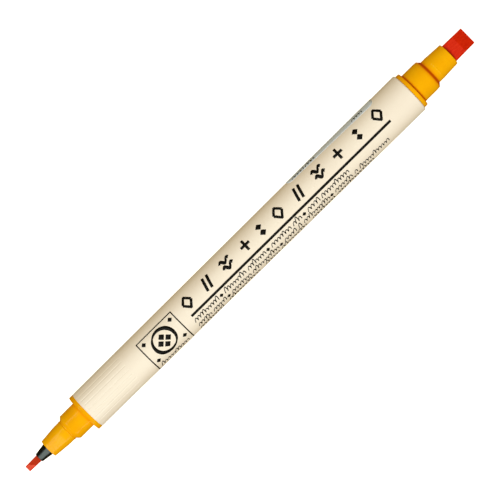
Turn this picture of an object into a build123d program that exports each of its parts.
from build123d import *

import os
from math import cos, degrees, hypot, radians, sin

# A twin-tip calligraphy marker with both caps off. The pen lies along X, fine chisel nib towards
# -X, broad chisel nib towards +X, the flats of both nibs facing +Z. The origin is half-way along
# the pen, on its axis. Each girth grows from the nib outwards: nib, socket, nose, cap seat,
# flange, barrel.

os.makedirs("parts", exist_ok=True)

# Lengths along the pen, in order from the fine tip to the broad tip
fine_nib_exposed = 4.15
holder_exposed = 3.4
fine_nose_taper_length = 4.9
fine_nose_cylinder_length = 2.25
fine_shoulder_length = 0.85
fine_seat_length = 5.05
fine_flange_thickness = 1.2
barrel_length = 117.6
broad_flange_thickness = 1.25
broad_seat_length = 5.4
broad_shoulder_length = 0.8
broad_nose_cylinder_length = 1.65
broad_nose_taper_length = 5.15
broad_nib_exposed = 6.9

# Clearances
fit_clearance = 0.02
bead_clearance = 0.04
reservoir_end_gap = 0.25

# Fine nib
fine_nib_width = 2.0
fine_nib_tip_width = 1.8
fine_nib_thickness = 1.1
fine_nib_edge_thickness = 0.35
fine_nib_bevel_length = 2.1
fine_nib_corner = 0.12
fine_nib_seat_depth = 2.5
fine_tail_width = 1.5

# Broad nib
broad_nib_width = 5.4
broad_nib_tip_width = 5.2
broad_nib_thickness = 2.8
broad_nib_edge_thickness = 0.9
broad_nib_bevel_length = 3.3
broad_nib_corner = 0.35
broad_nib_seat_depth = 10.2
broad_tail_width = 3.2
broad_tail_thickness = 2.0
broad_tail_corner = 0.2

# How far a nib's tail reaches into the reservoir, and the room left behind its end
tail_reach = 8.0
tail_end_room = 0.5

# Fine nib holder
holder_tip_wall = 0.14
holder_cone_rise = 0.575
holder_tip_rounding = 0.1
holder_mouth_gap = 0.1
holder_mouth_depth = 0.6
holder_front_shank_length = 3.0
holder_step = 0.23
holder_barb_height = 0.2
holder_barb_length = 0.9

# Fine collar
fine_nose_wall = 0.62
fine_nose_rise = 0.43
fine_shoulder_rise = 0.85
fine_cap_step = 1.7
fine_bulkhead = 0.4
fine_face_rounding = 0.15
fine_flange_rounding = 0.12
nose_bead_height = 0.08
nose_bead_width = 0.3
nose_bead_setback = 0.35

# Broad collar
broad_nose_wall = 0.26
broad_nose_rise = 0.25
broad_shoulder_rise = 0.9
broad_seat_lead_rise = 0.075
broad_seat_lead_length = 0.9
broad_cap_step = 0.95
broad_socket_wall = 0.6
broad_ledge_thickness = 1.2
broad_face_rounding = 0.12
broad_flange_rounding = 0.3
shoulder_setback = 0.3

# Both collars
cap_seat_wall = 0.9
plug_length = 10.0
plug_lead_length = 0.8
plug_lead_drop = 0.3
plug_slots = 4
plug_slot_width = 1.6
plug_slot_length = 2.2
reservoir_ledge = 0.45
snap_bead_height = 0.12
snap_bead_width = 0.8
snap_bead_place = 3.5

# Barrel
barrel_lip = 0.5
barrel_seat_wall = 0.95
barrel_wall = 1.1
barrel_seat_spare = 0.5
barrel_fine_rounding = 0.1
barrel_broad_rounding = 0.3
rib_count = 6
rib_width = 0.8
rib_height = 0.4
flute_count = 24
flute_length = 15.3
flute_depth = 0.1
flute_radius = 0.35

# Reservoir and label
film_thickness = 0.1
label_length = 30.7
label_arc = 11.0
label_thickness = 0.08
label_corner = 1.5
label_setback = 8.65
label_start_angle = 56.0

# Stations along X
fine_total = sum(
    (
        fine_nib_exposed,
        holder_exposed,
        fine_nose_taper_length,
        fine_nose_cylinder_length,
        fine_shoulder_length,
        fine_seat_length,
        fine_flange_thickness,
    )
)
broad_total = sum(
    (
        broad_flange_thickness,
        broad_seat_length,
        broad_shoulder_length,
        broad_nose_cylinder_length,
        broad_nose_taper_length,
        broad_nib_exposed,
    )
)
overall_length = fine_total + barrel_length + broad_total
fine_tip_x = -overall_length / 2
holder_front_x = fine_tip_x + fine_nib_exposed
fine_face_x = holder_front_x + holder_exposed
fine_taper_end_x = fine_face_x + fine_nose_taper_length
fine_shoulder_x = fine_taper_end_x + fine_nose_cylinder_length
fine_seat_x = fine_shoulder_x + fine_shoulder_length
fine_flange_x = fine_seat_x + fine_seat_length
barrel_fine_x = fine_flange_x + fine_flange_thickness
barrel_broad_x = barrel_fine_x + barrel_length
broad_flange_x = barrel_broad_x + broad_flange_thickness
broad_seat_x = broad_flange_x + broad_seat_length
broad_shoulder_x = broad_seat_x + broad_shoulder_length
broad_taper_x = broad_shoulder_x + broad_nose_cylinder_length
broad_face_x = broad_taper_x + broad_nose_taper_length
broad_tip_x = broad_face_x + broad_nib_exposed

fine_plug_end_x = barrel_fine_x + plug_length
broad_plug_end_x = barrel_broad_x - plug_length
reservoir_fine_x = fine_plug_end_x + reservoir_end_gap
reservoir_broad_x = broad_plug_end_x - reservoir_end_gap
reservoir_length = reservoir_broad_x - reservoir_fine_x
fine_nib_ledge_x = fine_face_x + fine_nib_seat_depth
fine_tail_end_x = reservoir_fine_x + tail_reach
broad_nib_ledge_x = broad_face_x - broad_nib_seat_depth
broad_tail_end_x = reservoir_broad_x - tail_reach

# Radii, from the nibs outwards
holder_front_radius = hypot(fine_nib_width / 2, fine_nib_thickness / 2) + fit_clearance + holder_tip_wall
holder_base_radius = holder_front_radius + holder_cone_rise
holder_shank_radius = holder_base_radius + holder_mouth_gap
holder_rear_radius = holder_shank_radius - holder_step
fine_nose_bore = holder_shank_radius + fit_clearance
fine_rear_bore = holder_rear_radius + fit_clearance
fine_face_radius = fine_nose_bore + fine_nose_wall
fine_nose_radius = fine_face_radius + fine_nose_rise
fine_seat_radius = fine_nose_radius + fine_shoulder_rise
fine_flange_radius = fine_seat_radius + fine_cap_step
barrel_fine_radius = fine_flange_radius

broad_face_radius = hypot(broad_nib_width / 2, broad_nib_thickness / 2) + fit_clearance + broad_nose_wall
broad_nose_radius = broad_face_radius + broad_nose_rise
broad_seat_lead_radius = broad_nose_radius + broad_shoulder_rise
broad_seat_radius = broad_seat_lead_radius + broad_seat_lead_rise
broad_flange_radius = broad_seat_radius + broad_cap_step
barrel_broad_radius = broad_flange_radius + barrel_lip

barrel_slope = (barrel_broad_radius - barrel_fine_radius) / barrel_length
fine_plug_seat_radius = barrel_fine_radius - barrel_seat_wall
broad_plug_seat_radius = barrel_broad_radius - barrel_seat_wall
rib_tip_radius = min(barrel_fine_radius, barrel_broad_radius) - barrel_wall - rib_height
film_radius = rib_tip_radius - fit_clearance
reservoir_radius = film_radius - film_thickness - fit_clearance
plug_bore_radius = film_radius - reservoir_ledge


def barrel_radius(x):
    """The barrel's outer radius at a station, on the straight taper from end to end."""
    return barrel_fine_radius + barrel_slope * (x - barrel_fine_x)


def bead_arc(place_x, surface_radius, height, width):
    """Start, crest and end of an arc that stands a given height and width out of a surface."""
    crest = (place_x, surface_radius + height)
    return (place_x - width / 2, surface_radius), crest, (place_x + width / 2, surface_radius)


def chisel_cuts(tip_x, inward, tip_half, body_half, cut_length):
    """Outlines of the two wedges that narrow a slab from its body to its tip, one on each side."""
    cut_x = tip_x + inward * cut_length
    before_x = tip_x - inward
    wedges = []
    for side in (1, -1):
        inner = [(before_x, side * tip_half), (tip_x, side * tip_half), (cut_x, side * body_half)]
        outer = [(cut_x, side * 2 * body_half), (before_x, side * 2 * body_half)]
        wedges.append(inner + outer)
    return wedges


# Barrel: a tapered tube, a plug seat with a snap groove at each end, ribs that centre the
# reservoir, and shallow grip flutes over its fine end
with BuildPart() as barrel_core:
    fine_seat_end_x = barrel_fine_x + plug_length + barrel_seat_spare
    broad_seat_end_x = barrel_broad_x - plug_length - barrel_seat_spare
    with BuildSketch(Plane.XY):
        with BuildLine():
            Polyline(
                (fine_seat_end_x, 0),
                (fine_seat_end_x, barrel_radius(fine_seat_end_x) - barrel_wall),
                (broad_seat_end_x, barrel_radius(broad_seat_end_x) - barrel_wall),
                (broad_seat_end_x, 0),
                close=True,
            )
        make_face()
    revolve(axis=Axis.X)
    with BuildSketch(Plane.YZ.offset(fine_seat_end_x)):
        with PolarLocations(rib_tip_radius + barrel_broad_radius / 2, rib_count):
            Rectangle(barrel_broad_radius, rib_width)
    extrude(amount=broad_seat_end_x - fine_seat_end_x, mode=Mode.SUBTRACT)

with BuildPart() as flute_cutter:
    flute_axis_radius = barrel_fine_radius - flute_depth + flute_radius
    flute_plane = Plane(
        origin=(barrel_fine_x, 0, flute_axis_radius),
        x_dir=(0, 1, 0),
        z_dir=(1, 0, barrel_slope),
    )
    with BuildSketch(flute_plane):
        Circle(flute_radius)
    extrude(amount=flute_length)
    extrude(flute_cutter.faces().sort_by(Axis.X)[0], amount=flute_radius)

with BuildPart() as barrel:
    with BuildSketch(Plane.XY):
        with BuildLine():
            Polyline(
                (barrel_fine_x, 0),
                (barrel_fine_x, barrel_fine_radius),
                (barrel_broad_x, barrel_broad_radius),
                (barrel_broad_x, 0),
                close=True,
            )
        make_face()
    revolve(axis=Axis.X)
    outer_rims = barrel.edges().filter_by(GeomType.CIRCLE).sort_by(Axis.X)
    fillet(outer_rims[0], radius=barrel_fine_rounding)
    outer_rims = barrel.edges().filter_by(GeomType.CIRCLE).sort_by(Axis.X)
    fillet(outer_rims[-1], radius=barrel_broad_rounding)
    add(barrel_core.part, mode=Mode.SUBTRACT)
    seat_ends = (
        (barrel_fine_x, 1, fine_plug_seat_radius),
        (barrel_broad_x, -1, broad_plug_seat_radius),
    )
    for end_x, inward, seat_radius in seat_ends:
        groove = bead_arc(
            end_x + inward * snap_bead_place,
            seat_radius,
            snap_bead_height - fit_clearance + bead_clearance,
            snap_bead_width + 2 * bead_clearance,
        )[::inward]
        seat_end_x = end_x + inward * (plug_length + barrel_seat_spare)
        with BuildSketch(Plane.XY):
            with BuildLine():
                Polyline((end_x, 0), (end_x, seat_radius), groove[0])
                ThreePointArc(*groove)
                Polyline(groove[-1], (seat_end_x, seat_radius), (seat_end_x, 0), (end_x, 0))
            make_face()
        revolve(axis=Axis.X, mode=Mode.SUBTRACT)
    flute_turns = [360 * turn / flute_count for turn in range(flute_count)]
    flutes = [flute_cutter.part.rotate(Axis.X, angle) for angle in flute_turns]
    add(flutes, mode=Mode.SUBTRACT)
barrel.part.label = "barrel"
export_step(barrel.part, "parts/barrel.step")

# Fine collar: one moulding with a plug for the barrel, a flange, a cap seat and a slim nose that
# is bored in two steps for the nib holder
with BuildPart() as fine_collar:
    fine_plug_radius = fine_plug_seat_radius - fit_clearance
    nose_bead = bead_arc(
        fine_shoulder_x - nose_bead_setback, fine_nose_radius, nose_bead_height, nose_bead_width
    )
    snap_bead = bead_arc(
        barrel_fine_x + snap_bead_place, fine_plug_radius, snap_bead_height, snap_bead_width
    )
    with BuildSketch(Plane.XY):
        with BuildLine():
            Polyline(
                (fine_face_x, 0),
                (fine_face_x, fine_face_radius),
                (fine_taper_end_x, fine_nose_radius),
                nose_bead[0],
            )
            ThreePointArc(*nose_bead)
            Polyline(
                nose_bead[-1],
                (fine_shoulder_x, fine_nose_radius),
                (fine_seat_x, fine_seat_radius),
                (fine_flange_x, fine_seat_radius),
                (fine_flange_x, fine_flange_radius),
                (barrel_fine_x, fine_flange_radius),
                (barrel_fine_x, fine_plug_radius),
                snap_bead[0],
            )
            ThreePointArc(*snap_bead)
            Polyline(
                snap_bead[-1],
                (fine_plug_end_x - plug_lead_length, fine_plug_radius),
                (fine_plug_end_x, fine_plug_radius - plug_lead_drop),
                (fine_plug_end_x, 0),
                (fine_face_x, 0),
            )
        make_face()
    revolve(axis=Axis.X)
    face_rim = fine_collar.edges().filter_by(GeomType.CIRCLE).sort_by(Axis.X)[0]
    fillet(face_rim, radius=fine_face_rounding)
    flange_rims = fine_collar.edges().filter_by(GeomType.CIRCLE).filter_by(
        lambda rim: abs(rim.radius - fine_flange_radius) < fit_clearance
    )
    fillet(flange_rims, radius=fine_flange_rounding)
    fine_cavity_x = fine_seat_x + fine_bulkhead
    holder_step_x = fine_face_x + holder_mouth_depth + holder_front_shank_length
    with BuildSketch(Plane.XY):
        with BuildLine():
            Polyline(
                (fine_face_x, 0),
                (fine_face_x, fine_nose_bore),
                (holder_step_x, fine_nose_bore),
                (holder_step_x, fine_rear_bore),
                (fine_cavity_x, fine_rear_bore),
                (fine_cavity_x, fine_seat_radius - cap_seat_wall),
                (fine_flange_x, fine_seat_radius - cap_seat_wall),
                (barrel_fine_x, plug_bore_radius),
                (fine_plug_end_x, plug_bore_radius),
                (fine_plug_end_x, 0),
                close=True,
            )
        make_face()
    revolve(axis=Axis.X, mode=Mode.SUBTRACT)
    with BuildSketch(Plane.YZ.offset(fine_plug_end_x - plug_slot_length)):
        with PolarLocations(0, plug_slots // 2, angular_range=180):
            Rectangle(3 * fine_plug_radius, plug_slot_width)
    extrude(amount=plug_slot_length, mode=Mode.SUBTRACT)
fine_collar.part.label = "fine_collar"
export_step(fine_collar.part, "parts/fine_collar.step")

# Fine nib holder: a cone with a stepped shank. The step rests on the step in the collar's bore,
# the barb catches behind the bore, and a slot with a ledge takes the nib
with BuildPart() as fine_nib_holder:
    holder_shank_x = fine_face_x + holder_mouth_depth
    holder_barb_x = fine_cavity_x + fit_clearance
    holder_end_x = holder_barb_x + holder_barb_length
    with BuildSketch(Plane.XY):
        with BuildLine():
            Polyline(
                (holder_front_x, 0),
                (holder_front_x, holder_front_radius),
                (holder_shank_x, holder_base_radius),
                (holder_shank_x, holder_shank_radius),
                (holder_step_x, holder_shank_radius),
                (holder_step_x, holder_rear_radius),
                (holder_barb_x, holder_rear_radius),
                (holder_barb_x, holder_rear_radius + holder_barb_height),
                (holder_end_x, holder_rear_radius - holder_barb_height),
                (holder_end_x, 0),
                close=True,
            )
        make_face()
    revolve(axis=Axis.X)
    tip_rim = fine_nib_holder.edges().filter_by(GeomType.CIRCLE).sort_by(Axis.X)[0]
    fillet(tip_rim, radius=holder_tip_rounding)
    slot_width = fine_nib_width + 2 * fit_clearance
    slot_height = fine_nib_thickness + 2 * fit_clearance
    with BuildSketch(Plane.YZ.offset(holder_front_x)):
        RectangleRounded(slot_width, slot_height, fine_nib_corner + fit_clearance)
    extrude(amount=fine_nib_ledge_x - holder_front_x, mode=Mode.SUBTRACT)
    with BuildSketch(Plane.YZ.offset(fine_nib_ledge_x)):
        tail_slot_width = fine_tail_width + 2 * fit_clearance
        RectangleRounded(tail_slot_width, slot_height, fine_nib_corner + fit_clearance)
    extrude(amount=holder_end_x - fine_nib_ledge_x, mode=Mode.SUBTRACT)
fine_nib_holder.part.label = "fine_nib_holder"
export_step(fine_nib_holder.part, "parts/fine_nib_holder.step")

# Fine nib: a slim slab of pressed fibre with a chisel tip and a narrower tail
with BuildPart() as fine_nib:
    with BuildSketch(Plane.YZ.offset(fine_tip_x)):
        RectangleRounded(fine_nib_width, fine_nib_thickness, fine_nib_corner)
    extrude(amount=fine_nib_ledge_x - fine_tip_x)
    face_cuts = chisel_cuts(
        fine_tip_x,
        1,
        fine_nib_edge_thickness / 2,
        fine_nib_thickness / 2,
        fine_nib_bevel_length,
    )
    for face_cut in face_cuts:
        with BuildSketch(Plane.XZ):
            with BuildLine():
                Polyline(*face_cut, close=True)
            make_face()
        extrude(amount=fine_nib_width, both=True, mode=Mode.SUBTRACT)
    side_cuts = chisel_cuts(
        fine_tip_x,
        1,
        fine_nib_tip_width / 2,
        fine_nib_width / 2,
        fine_nib_exposed,
    )
    for side_cut in side_cuts:
        with BuildSketch(Plane.XY):
            with BuildLine():
                Polyline(*side_cut, close=True)
            make_face()
        extrude(amount=fine_nib_thickness, both=True, mode=Mode.SUBTRACT)
    with BuildSketch(Plane.YZ.offset(fine_nib_ledge_x)):
        RectangleRounded(fine_tail_width, fine_nib_thickness, fine_nib_corner)
    extrude(amount=fine_tail_end_x - fine_nib_ledge_x)
fine_nib.part.label = "fine_nib"
export_step(fine_nib.part, "parts/fine_nib.step")

# Broad collar: one moulding with a plug, a flange, a cap seat and a short nose. A flat socket
# tube inside it holds the broad nib, with a ledge at its inner end
with BuildPart() as broad_collar:
    broad_plug_radius = broad_plug_seat_radius - fit_clearance
    snap_bead = bead_arc(
        barrel_broad_x - snap_bead_place, broad_plug_radius, snap_bead_height, snap_bead_width
    )[::-1]
    with BuildSketch(Plane.XY):
        with BuildLine():
            Polyline(
                (broad_face_x, 0),
                (broad_face_x, broad_face_radius),
                (broad_taper_x, broad_nose_radius),
                (broad_shoulder_x, broad_nose_radius),
                (broad_seat_x, broad_seat_lead_radius),
                (broad_seat_x - broad_seat_lead_length, broad_seat_radius),
                (broad_flange_x, broad_seat_radius),
                (broad_flange_x, broad_flange_radius),
                (barrel_broad_x, broad_flange_radius),
                (barrel_broad_x, broad_plug_radius),
                snap_bead[0],
            )
            ThreePointArc(*snap_bead)
            Polyline(
                snap_bead[-1],
                (broad_plug_end_x + plug_lead_length, broad_plug_radius),
                (broad_plug_end_x, broad_plug_radius - plug_lead_drop),
                (broad_plug_end_x, 0),
                (broad_face_x, 0),
            )
        make_face()
    revolve(axis=Axis.X)
    face_rim = broad_collar.edges().filter_by(GeomType.CIRCLE).sort_by(Axis.X)[-1]
    fillet(face_rim, radius=broad_face_rounding)
    flange_rim = broad_collar.edges().filter_by(GeomType.CIRCLE).filter_by(
        lambda rim: abs(rim.radius - broad_flange_radius) < fit_clearance
    ).sort_by(Axis.X)[-1]
    fillet(flange_rim, radius=broad_flange_rounding)
    broad_cavity_x = broad_seat_x - shoulder_setback
    with BuildSketch(Plane.XY):
        with BuildLine():
            Polyline(
                (broad_cavity_x, 0),
                (broad_cavity_x, broad_seat_lead_radius - cap_seat_wall),
                (broad_flange_x, broad_seat_lead_radius - cap_seat_wall),
                (barrel_broad_x, plug_bore_radius),
                (broad_plug_end_x, plug_bore_radius),
                (broad_plug_end_x, 0),
                close=True,
            )
        make_face()
    revolve(axis=Axis.X, mode=Mode.SUBTRACT)
    socket_width = broad_nib_width + 2 * fit_clearance
    socket_height = broad_nib_thickness + 2 * fit_clearance
    socket_corner = broad_nib_corner + fit_clearance
    socket_end_x = broad_nib_ledge_x - broad_ledge_thickness
    with BuildSketch(Plane.YZ.offset(socket_end_x)):
        RectangleRounded(
            socket_width + 2 * broad_socket_wall,
            socket_height + 2 * broad_socket_wall,
            socket_corner + broad_socket_wall,
        )
    extrude(amount=broad_cavity_x - socket_end_x)
    with BuildSketch(Plane.YZ.offset(broad_nib_ledge_x)):
        RectangleRounded(socket_width, socket_height, socket_corner)
    extrude(amount=broad_nib_seat_depth, mode=Mode.SUBTRACT)
    with BuildSketch(Plane.YZ.offset(socket_end_x)):
        RectangleRounded(
            broad_tail_width + 2 * fit_clearance,
            broad_tail_thickness + 2 * fit_clearance,
            broad_tail_corner + fit_clearance,
        )
    extrude(amount=broad_ledge_thickness, mode=Mode.SUBTRACT)
    with BuildSketch(Plane.YZ.offset(broad_plug_end_x)):
        with PolarLocations(0, plug_slots // 2, angular_range=180):
            Rectangle(3 * broad_plug_radius, plug_slot_width)
    extrude(amount=plug_slot_length, mode=Mode.SUBTRACT)
broad_collar.part.label = "broad_collar"
export_step(broad_collar.part, "parts/broad_collar.step")

# Broad nib: a wide slab of pressed fibre with a chisel tip and a narrower, thinner tail
with BuildPart() as broad_nib:
    with BuildSketch(Plane.YZ.offset(broad_nib_ledge_x)):
        RectangleRounded(broad_nib_width, broad_nib_thickness, broad_nib_corner)
    extrude(amount=broad_tip_x - broad_nib_ledge_x)
    face_cuts = chisel_cuts(
        broad_tip_x,
        -1,
        broad_nib_edge_thickness / 2,
        broad_nib_thickness / 2,
        broad_nib_bevel_length,
    )
    for face_cut in face_cuts:
        with BuildSketch(Plane.XZ):
            with BuildLine():
                Polyline(*face_cut, close=True)
            make_face()
        extrude(amount=broad_nib_width, both=True, mode=Mode.SUBTRACT)
    side_cuts = chisel_cuts(
        broad_tip_x,
        -1,
        broad_nib_tip_width / 2,
        broad_nib_width / 2,
        broad_nib_exposed,
    )
    for side_cut in side_cuts:
        with BuildSketch(Plane.XY):
            with BuildLine():
                Polyline(*side_cut, close=True)
            make_face()
        extrude(amount=broad_nib_thickness, both=True, mode=Mode.SUBTRACT)
    with BuildSketch(Plane.YZ.offset(broad_tail_end_x)):
        RectangleRounded(broad_tail_width, broad_tail_thickness, broad_tail_corner)
    extrude(amount=broad_nib_ledge_x - broad_tail_end_x)
broad_nib.part.label = "broad_nib"
export_step(broad_nib.part, "parts/broad_nib.step")

# Ink reservoir: a rod of fibre with a pocket at each end that the nibs' tails reach into
with BuildPart() as ink_reservoir:
    with BuildSketch(Plane.YZ.offset(reservoir_fine_x)):
        Circle(reservoir_radius)
    extrude(amount=reservoir_length)
    with BuildSketch(Plane.YZ.offset(reservoir_fine_x)):
        RectangleRounded(
            fine_tail_width + 2 * fit_clearance,
            fine_nib_thickness + 2 * fit_clearance,
            fine_nib_corner + fit_clearance,
        )
    extrude(amount=tail_reach + tail_end_room, mode=Mode.SUBTRACT)
    with BuildSketch(Plane.YZ.offset(reservoir_broad_x - tail_reach - tail_end_room)):
        RectangleRounded(
            broad_tail_width + 2 * fit_clearance,
            broad_tail_thickness + 2 * fit_clearance,
            broad_tail_corner + fit_clearance,
        )
    extrude(amount=tail_reach + tail_end_room, mode=Mode.SUBTRACT)
ink_reservoir.part.label = "ink_reservoir"
export_step(ink_reservoir.part, "parts/ink_reservoir.step")

# Reservoir film: the thin sleeve that wraps the fibre rod, open at both ends
with BuildPart() as reservoir_film:
    with BuildSketch(Plane.YZ.offset(reservoir_fine_x)):
        Circle(film_radius)
        Circle(film_radius - film_thickness, mode=Mode.SUBTRACT)
    extrude(amount=reservoir_length)
reservoir_film.part.label = "reservoir_film"
export_step(reservoir_film.part, "parts/reservoir_film.step")

# Barcode label: a sticker on the barrel's taper near the broad end. It starts at label_start_angle
# from the top, towards +Y, and wraps on round the back
with BuildPart() as barcode_label:
    label_broad_x = barrel_broad_x - label_setback
    label_fine_x = label_broad_x - label_length
    label_start = radians(label_start_angle)
    label_plane = Plane(
        origin=(0, 0, 0), x_dir=(1, 0, 0), z_dir=(0, -cos(label_start), sin(label_start))
    )
    with BuildSketch(label_plane):
        with BuildLine():
            Polyline(
                (label_fine_x, barrel_radius(label_fine_x)),
                (label_broad_x, barrel_radius(label_broad_x)),
                (label_broad_x, barrel_radius(label_broad_x) + label_thickness),
                (label_fine_x, barrel_radius(label_fine_x) + label_thickness),
                close=True,
            )
        make_face()
    label_sweep = degrees(label_arc / barrel_radius(label_broad_x))
    revolve(axis=Axis.X, revolution_arc=-label_sweep)
    corner_turn = degrees(label_corner / barrel_radius(label_broad_x))
    corners = [
        (label_fine_x + label_corner, -1, label_start_angle + corner_turn, -1),
        (label_fine_x + label_corner, -1, label_start_angle + label_sweep - corner_turn, 1),
        (label_broad_x - label_corner, 1, label_start_angle + corner_turn, -1),
        (label_broad_x - label_corner, 1, label_start_angle + label_sweep - corner_turn, 1),
    ]
    for corner_x, along, angle, around in corners:
        corner_plane = Plane(
            origin=(corner_x, 0, 0), x_dir=(1, 0, 0), z_dir=(0, sin(radians(angle)), cos(radians(angle)))
        )
        with BuildSketch(corner_plane):
            with Locations((along * label_corner, around * label_corner)):
                Rectangle(2 * label_corner, 2 * label_corner)
            Circle(label_corner, mode=Mode.SUBTRACT)
        extrude(amount=2 * barrel_broad_radius, mode=Mode.SUBTRACT)
barcode_label.part.label = "barcode_label"
export_step(barcode_label.part, "parts/barcode_label.step")

print(f"overall {overall_length:.2f} mm long without caps")
print(f"barrel {2 * barrel_fine_radius:.2f} to {2 * barrel_broad_radius:.2f} mm across")
print(f"cap seats {2 * fine_seat_radius:.2f} and {2 * broad_seat_radius:.2f} mm across")
